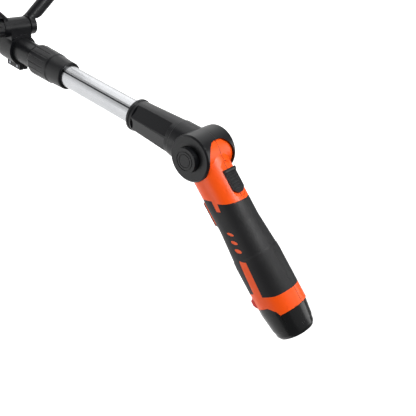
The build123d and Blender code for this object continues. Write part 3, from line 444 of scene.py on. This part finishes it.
def solder_mask():
    # Epoxy board under green solder mask: glossy with a faint weave.
    return moulded(
        "epoxy_board_green", linear("#0E4A26"), linear("#B89A4A"), 0.28, 0.9 * MM, 0.02 * MM, edge=0.2 * MM
    )


def shrink_sleeve():
    # PVC sleeve shrunk on cells: smooth blue with a tight gloss.
    return moulded("pvc_shrink_sleeve_blue", linear("#1F62A8"), linear("#3F86C8"), 0.22, 3 * MM, 0.02 * MM)


def nylon_line():
    # Nylon monofilament, extruded: orange, smooth and glossy.
    orange = linear("#F2741B")
    return moulded("nylon_monofilament_orange", orange, orange, 0.24, 2 * MM, 0.01 * MM, edge=0.1 * MM)


def satin_aluminium():
    # Aluminium tube, drawn and satin anodised: pale, with hair lines along its length, and shade painted
    # dark into its groove.
    turn = (0, -math.asin(POLE_OUT.z), 0)
    return metal(
        "aluminium_satin_anodised", linear("#D6D7D9"), linear("#C0C2C5"), 0.27, 0.35 * MM, 0.006 * MM,
        stretch=(60, 1, 1), turn=turn, anisotropic=0.3, painted_shade=painted_groove_shade,
    )


def powder_coat():
    # Polyester powder coat on steel tube: black with a faint orange-peel.
    return moulded("powder_coated_black", linear("#141517"), linear("#2A2B2E"), 0.36, 1.4 * MM, 0.03 * MM)


def zinc_steel():
    # Steel, zinc plated: bluish grey with a fine crystalline bloom.
    return metal("steel_zinc_plated", linear("#B9BCC2"), linear("#9DA1A8"), 0.32, 0.5 * MM, 0.004 * MM)


def spring_steel():
    # Spring wire, drawn: darker, with a bright line along its crown.
    return metal("steel_spring_wire", linear("#A9ABB0"), linear("#85888E"), 0.26, 0.4 * MM, 0.003 * MM)


def tinned_brass():
    # Brass contacts, tinned: pale gold.
    return metal("brass_tinned", linear("#D8C08A"), linear("#BFA266"), 0.28, 0.5 * MM, 0.003 * MM)


# ---------------------------------------------------------------- geometry nodes
def geometry_tree(name, sizes):
    """A tree that takes points and named sizes; returns it and its inputs' sockets."""
    tree = bpy.data.node_groups.new(name, "GeometryNodeTree")
    tree.interface.new_socket("Geometry", in_out="INPUT", socket_type="NodeSocketGeometry")
    for label, value in sizes.items():
        kind = "NodeSocketInt" if isinstance(value, int) else "NodeSocketFloat"
        tree.interface.new_socket(label, in_out="INPUT", socket_type=kind).default_value = value
    tree.interface.new_socket("Geometry", in_out="OUTPUT", socket_type="NodeSocketGeometry")
    return tree, add_node(tree, "NodeGroupInput").outputs


def place_part(tree, points, part, finish_material):
    """Ends a tree: the part stands on every point, turned by the points' own turn attribute."""
    turn = add_node(tree, "GeometryNodeInputNamedAttribute", {"data_type": "FLOAT_VECTOR", "Name": "turn"})
    placed = add_node(
        tree,
        "GeometryNodeInstanceOnPoints",
        links={"Points": points, "Instance": part, "Rotation": turn.outputs[0]},
    )
    plain = add_node(tree, "GeometryNodeRealizeInstances", links={0: placed.outputs[0]})
    painted = add_node(
        tree, "GeometryNodeSetMaterial", {"Material": finish_material}, {"Geometry": plain.outputs[0]}
    )
    add_node(tree, "NodeGroupOutput", links={0: painted.outputs[0]})
    return tree


def lifted(tree, geometry, height):
    """The geometry moved along Z by a height socket."""
    offset = add_node(tree, "ShaderNodeCombineXYZ", links={2: height})
    return add_node(
        tree, "GeometryNodeTransform", links={"Geometry": geometry, "Translation": offset.outputs[0]}
    ).outputs[0]


def computed(tree, operation, first, second):
    """A sum, product or share of two sockets or numbers."""
    settings, links = {"operation": operation}, {}
    for index, value in enumerate((first, second)):
        (settings if isinstance(value, (int, float)) else links)[index] = value
    return add_node(tree, "ShaderNodeMath", settings, links).outputs[0]


def screw_tree(steel):
    """A pan-head screw with a cross drive and a rolled thread, its head's face at the point."""
    tree, sizes = geometry_tree("screw", {"Shank Radius": 1.8 * MM, "Length": 20.0 * MM, "Pitch": 0.9 * MM})
    radius, length, pitch = sizes["Shank Radius"], sizes["Length"], sizes["Pitch"]
    # The head's sizes are shares of the shank's radius, as in the tables for such screws.
    wide = computed(tree, "MULTIPLY", radius, 1.9)
    rim = computed(tree, "MULTIPLY", radius, 0.8)
    crown = computed(tree, "MULTIPLY", radius, 0.4)
    flange = add_node(
        tree, "GeometryNodeMeshCylinder", {"Vertices": 32}, {"Radius": wide, "Depth": rim}
    ).outputs["Mesh"]
    flange = lifted(tree, flange, computed(tree, "MULTIPLY", radius, -0.8))
    dome = add_node(
        tree,
        "GeometryNodeMeshCone",
        {"Vertices": 32, "Side Segments": 3},
        {"Radius Top": computed(tree, "MULTIPLY", radius, 1.35), "Radius Bottom": wide, "Depth": crown},
    ).outputs["Mesh"]
    dome = lifted(tree, dome, computed(tree, "MULTIPLY", radius, -0.4))
    cross = []
    for across in (0, 1):
        size = [computed(tree, "MULTIPLY", radius, share) for share in (2.0, 0.55, 1.2)]
        if across:
            size[0], size[1] = size[1], size[0]
        box = add_node(tree, "ShaderNodeCombineXYZ", links=dict(enumerate(size)))
        cross.append(add_node(tree, "GeometryNodeMeshCube", links={"Size": box.outputs[0]}).outputs["Mesh"])
    slots = add_node(tree, "GeometryNodeJoinGeometry")
    for part in cross:
        tree.links.new(part, slots.inputs[0])
    head = add_node(tree, "GeometryNodeMeshBoolean", {"operation": "UNION", "solver": "EXACT"})
    for part in (flange, dome):
        tree.links.new(part, head.inputs["Mesh 2"])
    cut = add_node(
        tree,
        "GeometryNodeMeshBoolean",
        {"operation": "DIFFERENCE", "solver": "EXACT"},
        {"Mesh 1": head.outputs[0], "Mesh 2": slots.outputs[0]},
    )
    core = add_node(
        tree,
        "GeometryNodeMeshCylinder",
        {"Vertices": 24},
        {"Radius": computed(tree, "MULTIPLY", radius, 0.84), "Depth": length},
    ).outputs["Mesh"]
    core = lifted(tree, core, computed(tree, "MULTIPLY", length, -0.5))
    plain_end = computed(tree, "MULTIPLY", radius, 2.0)
    turns = computed(tree, "DIVIDE", computed(tree, "SUBTRACT", length, plain_end), pitch)
    groove = computed(tree, "MULTIPLY", radius, 0.86)
    spiral = add_node(
        tree,
        "GeometryNodeCurveSpiral",
        {"Resolution": 20, "Reverse": False},
        {
            "Rotations": turns,
            "Start Radius": groove,
            "End Radius": groove,
            "Height": computed(tree, "MULTIPLY", turns, pitch),
        },
    ).outputs[0]
    crest = computed(tree, "MULTIPLY", radius, 0.14)
    ridge = add_node(tree, "GeometryNodeCurvePrimitiveCircle", {"Resolution": 6}, {"Radius": crest})
    thread = add_node(
        tree,
        "GeometryNodeCurveToMesh",
        {"Fill Caps": True},
        {"Curve": spiral, "Profile Curve": ridge.outputs[0]},
    ).outputs[0]
    thread = lifted(tree, thread, computed(tree, "MULTIPLY", length, -1.0))
    whole = add_node(tree, "GeometryNodeJoinGeometry")
    for part in (cut.outputs[0], core, thread):
        tree.links.new(part, whole.inputs[0])
    return place_part(tree, sizes["Geometry"], whole.outputs[0], steel)


def rib_tree(name, finish_material):
    """A round-backed rib along the point's X that thins out to nothing at both ends."""
    tree, sizes = geometry_tree(name, {"Rib Length": 20.0 * MM, "Rib Radius": 1.0 * MM})
    half = computed(tree, "MULTIPLY", sizes["Rib Length"], 0.5)
    ends = [
        add_node(tree, "ShaderNodeCombineXYZ", links={0: computed(tree, "MULTIPLY", half, sign)})
        for sign in (-1.0, 1.0)
    ]
    line = add_node(
        tree,
        "GeometryNodeCurvePrimitiveLine",
        links={"Start": ends[0].outputs[0], "End": ends[1].outputs[0]},
    )
    fine = add_node(tree, "GeometryNodeResampleCurve", {"Count": 13}, {"Curve": line.outputs[0]})
    share = add_node(tree, "GeometryNodeSplineParameter").outputs["Factor"]
    bow = computed(tree, "SINE", computed(tree, "MULTIPLY", share, math.pi), 0)
    thin = computed(tree, "POWER", bow, 0.35)
    ring = add_node(
        tree, "GeometryNodeCurvePrimitiveCircle", {"Resolution": 12}, {"Radius": sizes["Rib Radius"]}
    )
    rib = add_node(
        tree,
        "GeometryNodeCurveToMesh",
        {"Fill Caps": True},
        {"Curve": fine.outputs[0], "Profile Curve": ring.outputs[0], "Scale": thin},
    )
    return place_part(tree, sizes["Geometry"], rib.outputs[0], finish_material)


def coil_tree(name, finish_material):
    """Line wound side by side on a drum about the point's Z."""
    tree, sizes = geometry_tree(name, {"Drum Radius": 30.0 * MM, "Line Radius": 0.8 * MM, "Turns": 4.5})
    rise = computed(tree, "MULTIPLY", computed(tree, "MULTIPLY", sizes["Turns"], sizes["Line Radius"]), 2.0)
    path = add_node(
        tree,
        "GeometryNodeCurveSpiral",
        {"Resolution": 72},
        {
            "Rotations": sizes["Turns"],
            "Start Radius": sizes["Drum Radius"],
            "End Radius": sizes["Drum Radius"],
            "Height": rise,
        },
    )
    round_line = add_node(
        tree, "GeometryNodeCurvePrimitiveCircle", {"Resolution": 10}, {"Radius": sizes["Line Radius"]}
    )
    coil = add_node(
        tree,
        "GeometryNodeCurveToMesh",
        {"Fill Caps": True},
        {"Curve": path.outputs[0], "Profile Curve": round_line.outputs[0]},
    )
    return place_part(tree, sizes["Geometry"], coil.outputs[0], finish_material)


def new_piece(name, mesh, body, *replaced):
    """Puts a finished mesh in the scene on its body, in place of the CAD nodes named."""
    piece = bpy.data.objects.new(name, mesh)
    bpy.context.scene.collection.objects.link(piece)
    mesh.shade_smooth()
    mesh.set_sharp_from_angle(angle=SHARP_ANGLE)
    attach(piece, body)
    if replaced:
        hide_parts(*replaced)
    return piece


def grow(name, tree, values, places, body, *replaced):
    """Runs a tree on points at the places, a list of matrices, and bakes it to a plain mesh."""
    mesh = bpy.data.meshes.new(name)
    mesh.from_pydata([matrix.translation for matrix in places], [], [])
    turns = mesh.attributes.new("turn", "FLOAT_VECTOR", "POINT")
    for index, matrix in enumerate(places):
        turns.data[index].vector = matrix.to_euler()
    seed = bpy.data.objects.new(name + "_points", mesh)
    bpy.context.scene.collection.objects.link(seed)
    modifier = seed.modifiers.new("build", "NODES")
    modifier.node_group = tree
    for item in tree.interface.items_tree:
        if item.name in values:
            modifier[item.identifier] = values[item.name]
    baked = bpy.data.meshes.new_from_object(seed.evaluated_get(bpy.context.evaluated_depsgraph_get()))
    bpy.data.objects.remove(seed)
    baked.name = name
    return new_piece(name, baked, body, *replaced)


def across(frame_matrix, places, side):
    """Matrices at side-view places in millimetres, whose Z points to the right, where heads are."""
    face_right = Matrix.Rotation(-math.pi / 2, 4, "X")
    spots = [frame_matrix @ Vector((x * MM, side * MM, z * MM)) for x, z in places]
    return [Matrix.Translation(spot) @ face_right for spot in spots]


# ---------------------------------------------------------------- settings
class TrimmerSettings(bpy.types.PropertyGroup):
    """Sizes and colours that a user may change before building."""

    floor_colour: FloatVectorProperty(
        name="Floor", description="Colour of the floor", subtype="COLOR", size=3, default=linear("#F7F7F7")
    )
    floor_size: FloatProperty(
        name="Floor size", description="Width of the floor", unit="LENGTH", default=14.0
    )
    floor_glow: FloatProperty(
        name="Floor glow", description="Light of the floor's own, as of a lit table", default=0.9
    )
    floor_light: FloatProperty(
        name="Floor light", description="Light that the floor gives the pieces", default=0.45
    )
    room_light: FloatProperty(name="Room light", description="Light from all round", default=0.16)
    thread_pitch: FloatProperty(
        name="Thread pitch",
        description="Pitch of the housing screws' thread",
        unit="LENGTH",
        default=0.9 * MM,
    )
    louvres: IntProperty(
        name="Louvres", description="Ribs to each side of a louvre's middle", default=4, min=0, max=6
    )


MATERIALS = {}


def material(key, make):
    """One shared material for each finish."""
    if key not in MATERIALS:
        MATERIALS[key] = make()
    return MATERIALS[key]


# ---------------------------------------------------------------- pieces
class TRIMMER_OT_shells(bpy.types.Operator):
    """Finishes the orange mouldings: the handle shells, the trigger and the head shells"""

    bl_idname = "trimmer.shells"
    bl_label = "Orange shells"

    def execute(self, context):
        orange = material("orange", orange_abs)
        finish(orange, "handle_shell_left", "handle_shell_right", "trigger_lever", "line_spool")
        finish(orange, "head_shell_left", "head_shell_right")
        return {"FINISHED"}


class TRIMMER_OT_grip(bpy.types.Operator):
    """Finishes the rubber that the hands hold"""

    bl_idname = "trimmer.grip"
    bl_label = "Rubber grip"

    def execute(self, context):
        finish(material("rubber", black_rubber), "grip_left", "grip_right", "trigger_pad")
        return {"FINISHED"}


class TRIMMER_OT_mouldings(bpy.types.Operator):
    """Finishes the black nylon mouldings of the knuckle, pole and loop handle"""

    bl_idname = "trimmer.mouldings"
    bl_label = "Black mouldings"

    def execute(self, context):
        nylon = material("nylon", black_nylon)
        finish(material("knuckle", knuckle_nylon), "knuckle_shell_left", "knuckle_shell_right")
        finish(nylon, "pivot_cover", "pivot_button", "tube_bush")
        finish(nylon, "collet", "pole_yoke", "lock_sleeve", "thumb_slider")
        finish(nylon, "aux_clamp", "aux_loop", "aux_knob")
        finish(nylon, "guard", "spool_housing", "spool_cap")
        return {"FINISHED"}


class TRIMMER_OT_battery(bpy.types.Operator):
    """Finishes the battery and its release button"""

    bl_idname = "trimmer.battery"
    bl_label = "Battery"

    def execute(self, context):
        finish(material("case", black_abs), "battery_housing", "battery_end_cap")
        finish(material("red", red_abs), "battery_release", "tilt_button")
        finish(material("sleeve", shrink_sleeve), "battery_cells")
        finish(material("brass", tinned_brass), "battery_contacts", "terminal_blades")
        finish(material("grey", grey_pbt), "terminal_block", "trigger_switch", "slide_switch")
        finish(material("board", solder_mask), "control_board")
        return {"FINISHED"}


class TRIMMER_OT_metal(bpy.types.Operator):
    """Finishes tubes, screws, springs and the motor"""

    bl_idname = "trimmer.metal"
    bl_label = "Metal pieces"

    def execute(self, context):
        finish(material("aluminium", satin_aluminium), "inner_tube")
        finish(material("coat", powder_coat), "outer_tube")
        zinc = material("zinc", zinc_steel)
        finish(zinc, "handle_screws", "knuckle_screws", "head_screws", "guard_screws", "clamp_screws")
        finish(zinc, "trigger_pin", "dog_ring", "pivot_axle", "lock_gear", "tube_screw")
        finish(zinc, "tilt_bolt", "tilt_nut", "aux_bolt")
        finish(zinc, "motor", "line_cutter", "plant_guard", "drive_shaft")
        finish(material("spring", spring_steel), "button_spring", "tilt_spring")
        line = material("line", nylon_line)
        finish(line, "wound_line", "cutting_line")
        return {"FINISHED"}


class TRIMMER_OT_screws(bpy.types.Operator):
    """Builds the screws of the handle, the knuckle, the head, the guard and the clamp"""

    bl_idname = "trimmer.screws"
    bl_label = "Screws"

    def execute(self, context):
        pitch = context.scene.trimmer_settings.thread_pitch
        tree = screw_tree(material("zinc", zinc_steel))
        down = Matrix.Rotation(math.pi, 4, "X")
        guard = [
            Matrix.Translation((x * MM, y * MM, GUARD_SCREW_TOP * MM)) @ down for x, y in GUARD_SCREWS
        ]
        handle = across(GRIP_AXIS, HANDLE_SCREWS, HANDLE_FACE)
        knuckle = across(POLE, KNUCKLE_SCREWS, KNUCKLE_FACE)
        head = across(Matrix.Identity(4), HEAD_SCREWS, HEAD_FACE)
        clamp = across(COLLAR, CLAMP_SCREWS, CLAMP_FACE)
        sets = (
            ("screws_handle", handle, SCREW_RADIUS, HANDLE_SCREW_LENGTH, "handle", "handle_screws"),
            ("screws_knuckle", knuckle, SCREW_RADIUS, KNUCKLE_SCREW_LENGTH, "knuckle", "knuckle_screws"),
            ("screws_head", head, SCREW_RADIUS, HEAD_SCREW_LENGTH, "head", "head_screws"),
            ("screws_guard", guard, SCREW_RADIUS, GUARD_SCREW_LENGTH, "head", "guard_screws"),
            ("screws_clamp", clamp, CLAMP_SCREW_RADIUS, CLAMP_SCREW_LENGTH, "lower_pole", "clamp_screws"),
        )
        for name, places, radius, length, body, node in sets:
            values = {"Shank Radius": radius * MM, "Length": length * MM, "Pitch": pitch}
            grow(name, tree, values, places, body, node)
        return {"FINISHED"}


class TRIMMER_OT_louvres(bpy.types.Operator):
    """Builds the louvre ribs round the motor housing"""

    bl_idname = "trimmer.louvres"
    bl_label = "Motor louvres"

    def execute(self, context):
        settings = context.scene.trimmer_settings
        tree = rib_tree("louvre", material("orange", orange_abs))
        rise = LOUVRE_HIGH - LOUVRE_LOW
        slope = rise.to_track_quat("X", "Z").to_matrix().to_4x4()
        middle = Matrix.Translation((LOUVRE_LOW + LOUVRE_HIGH) / 2)
        places = []
        for step in range(-settings.louvres, settings.louvres + 1):
            for side in (90, -90):
                turn = Matrix.Rotation(math.radians(side + step * LOUVRE_STEP), 4, "Z")
                places.append(turn @ middle @ slope)
        values = {"Rib Length": rise.length, "Rib Radius": LOUVRE_RADIUS}
        grow("motor_louvres", tree, values, places, "head")
        return {"FINISHED"}


class TRIMMER_OT_wound_line(bpy.types.Operator):
    """Winds the cutting line on its spool"""

    bl_idname = "trimmer.wound_line"
    bl_label = "Wound line"

    def execute(self, context):
        tree = coil_tree("wound_line", material("line", nylon_line))
        values = {"Line Radius": LINE_RADIUS, "Drum Radius": DRUM_RADIUS, "Turns": LINE_TURNS}
        places = [Matrix.Translation((0, 0, DRUM_FLOOR))]
        grow("line_wound", tree, values, places, "spool")
        return {"FINISHED"}


def camera_matrix():
    """The camera's place and turn, from its angles about the handle pivot."""
    azimuth, elevation = CAMERA_AZIMUTH, CAMERA_ELEVATION
    back = Vector(
        (
            math.sin(azimuth) * math.cos(elevation),
            -math.cos(azimuth) * math.cos(elevation),
            math.sin(elevation),
        )
    )
    level = Vector((math.cos(azimuth), math.sin(azimuth), 0))
    right = Matrix.Rotation(CAMERA_ROLL, 3, back) @ level
    up = back.cross(right)
    place = PIVOT + right * CAMERA_RIGHT + up * CAMERA_UP + back * CAMERA_DISTANCE
    return Matrix.Translation(place) @ Matrix((right, up, back)).transposed().to_4x4()


def add_light(name, aim, direction, distance, size, power):
    """A square soft light that stands in a direction from aim and shines at it."""
    data = bpy.data.lights.new(name, "AREA")
    data.size = size
    data.energy = power
    light = bpy.data.objects.new(name, data)
    away = direction.normalized()
    turn = away.to_track_quat("Z", "Y").to_matrix().to_4x4()
    light.matrix_world = Matrix.Translation(aim + away * distance) @ turn
    bpy.context.scene.collection.objects.link(light)


class TRIMMER_OT_stage(bpy.types.Operator):
    """Makes the floor, the lights and the camera"""

    bl_idname = "trimmer.stage"
    bl_label = "Stage"

    def execute(self, context):
        settings = context.scene.trimmer_settings
        mesh = bpy.data.meshes.new("floor")
        half = settings.floor_size / 2
        corners = [(-half, -half, 0), (half, -half, 0), (half, half, 0), (-half, half, 0)]
        mesh.from_pydata(corners, [], [(0, 1, 2, 3)])
        floor = bpy.data.objects.new("floor", mesh)
        context.scene.collection.objects.link(floor)
        paint, tree, out = new_material("floor_painted_pale")
        # Like the backdrop, the floor is bright to the eye and dimmer as a light.
        seen = add_node(tree, "ShaderNodeLightPath").outputs["Is Camera Ray"]
        glow = add_node(
            tree,
            "ShaderNodeMapRange",
            {"To Min": settings.floor_light, "To Max": settings.floor_glow},
            {"Value": seen},
        )
        shader = add_node(
            tree,
            "ShaderNodeBsdfPrincipled",
            {"Base Color": (*settings.floor_colour, 1), "Roughness": 0.9, "Emission Color": (1, 1, 1, 1)},
            {"Emission Strength": glow.outputs[0]},
        )
        tree.links.new(shader.outputs[0], out.inputs[0])
        mesh.materials.append(paint)

        turn = camera_matrix()
        right, up, back = (turn.col[i].to_3d() for i in range(3))
        for name, (to_right, to_up, to_back), distance, size, power in LIGHTS:
            direction = to_right * right + to_up * up + to_back * back
            add_light(name, PIVOT, direction, distance, size, power)
        add_light("over", CEILING_AIM, Vector((0, 0, 1)), CEILING_HEIGHT, CEILING_SIZE, CEILING_POWER)
        world = bpy.data.worlds.new("studio")
        world.use_nodes = True
        tree = world.node_tree
        tree.nodes.clear()
        # The backdrop is white where it is looked at, and dim as a light, so that black pieces stay black.
        seen = add_node(tree, "ShaderNodeLightPath").outputs["Is Camera Ray"]
        strength = add_node(
            tree, "ShaderNodeMapRange", {"To Min": settings.room_light, "To Max": 1.0}, {"Value": seen}
        )
        light = add_node(
            tree, "ShaderNodeBackground", {"Color": (1, 1, 1, 1)}, {"Strength": strength.outputs[0]}
        )
        add_node(tree, "ShaderNodeOutputWorld", links={0: light.outputs[0]})
        context.scene.world = world
        context.scene.view_settings.view_transform = "Standard"

        data = bpy.data.cameras.new("camera")
        data.lens = CAMERA_LENS
        data.sensor_width = CAMERA_SENSOR
        data.clip_start = CAMERA_NEAR
        camera = bpy.data.objects.new("camera", data)
        camera.matrix_world = turn
        context.scene.collection.objects.link(camera)
        context.scene.camera = camera
        return {"FINISHED"}


OPERATORS = (
    TRIMMER_OT_shells,
    TRIMMER_OT_grip,
    TRIMMER_OT_mouldings,
    TRIMMER_OT_battery,
    TRIMMER_OT_metal,
    TRIMMER_OT_screws,
    TRIMMER_OT_louvres,
    TRIMMER_OT_wound_line,
    TRIMMER_OT_stage,
)


class TRIMMER_PT_panel(bpy.types.Panel):
    """Lists the pieces that can be built"""

    bl_label = "String trimmer"
    bl_idname = "TRIMMER_PT_panel"
    bl_space_type = "VIEW_3D"
    bl_region_type = "UI"
    bl_category = "Trimmer"

    def draw(self, context):
        settings = context.scene.trimmer_settings
        for name in TrimmerSettings.__annotations__:
            self.layout.prop(settings, name)
        for operator in OPERATORS:
            self.layout.operator(operator.bl_idname)


CLASSES = (TrimmerSettings, *OPERATORS, TRIMMER_PT_panel)


def register():
    for entry in CLASSES:
        bpy.utils.register_class(entry)
    bpy.types.Scene.trimmer_settings = PointerProperty(type=TrimmerSettings)


def unregister():
    del bpy.types.Scene.trimmer_settings
    for entry in reversed(CLASSES):
        bpy.utils.unregister_class(entry)


def main():
    register()
    for operator in OPERATORS:
        group, name = operator.bl_idname.split(".")
        getattr(getattr(bpy.ops, group), name)()


if __name__ == "__main__":
    main()
